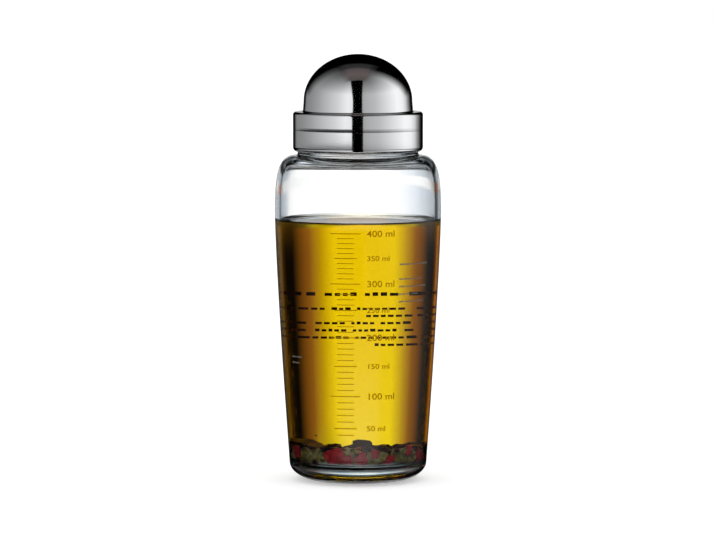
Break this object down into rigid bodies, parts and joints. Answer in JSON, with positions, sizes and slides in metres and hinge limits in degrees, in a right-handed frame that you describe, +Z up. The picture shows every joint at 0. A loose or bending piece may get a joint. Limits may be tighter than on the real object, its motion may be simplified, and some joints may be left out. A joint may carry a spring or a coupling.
{
  "type": "salad dressing shaker bottle",
  "caption": "Tapered glass dressing shaker with measuring scale, screw-on steel-sleeved pouring head, strainer and pull-off domed steel cap, filled with herb dressing.",
  "frame": {"origin": "on the bottle's axis at the foot ring it stands on", "axes": "+Z up along the bottle's axis, from the foot to the dome; +X to the right and +Y away from a person reading the scale"},
  "size_m": [0.0798, 0.0798, 0.2049],
  "materials": {
    "clear_glass": "clear, fire-polished",
    "polished_steel": "mirror-polished stainless steel",
    "strainer_steel": "satin stainless steel sheet",
    "pourer_plastic": "smooth moulded",
    "silicone": "soft matt",
    "dressing": "clear amber liquid",
    "red_pepper": "wet, glossy skin",
    "herb_leaf": "wet leaf",
    "peppercorn": "wet, slightly wrinkled"
  },
  "bodies": {
    "bottle": {"glass_bottle": "clear_glass", "dressing": "dressing", "pepper_pieces": "red_pepper", "herb_leaves": "herb_leaf", "peppercorns": "peppercorn"},
    "seal": {"neck_gasket": "silicone"},
    "head": {"sleeve": "polished_steel", "pourer": "pourer_plastic", "strainer": "strainer_steel", "spigot_ring": "silicone"},
    "cap": {"cap_shell": "polished_steel", "cap_liner": "pourer_plastic", "cap_seal": "silicone"}
  },
  "joints": [
    {"name": "head_lift", "type": "slide", "parent": "bottle", "child": "seal", "axis": [0, 0, 1], "range_m": [0, 0.024]},
    {"name": "head_turn", "type": "hinge", "parent": "seal", "child": "head", "pos_m": [0, 0, 0.16], "axis": [0, 0, 1], "range_deg": [0, 720]},
    {"name": "cap_lift", "type": "slide", "parent": "head", "child": "cap", "axis": [0, 0, 1], "range_m": [0, 0.03]}
  ],
  "couplings": [
    {"joint": "head_lift", "follows": "head_turn", "m_per_rad": 0.0019099}
  ]
}
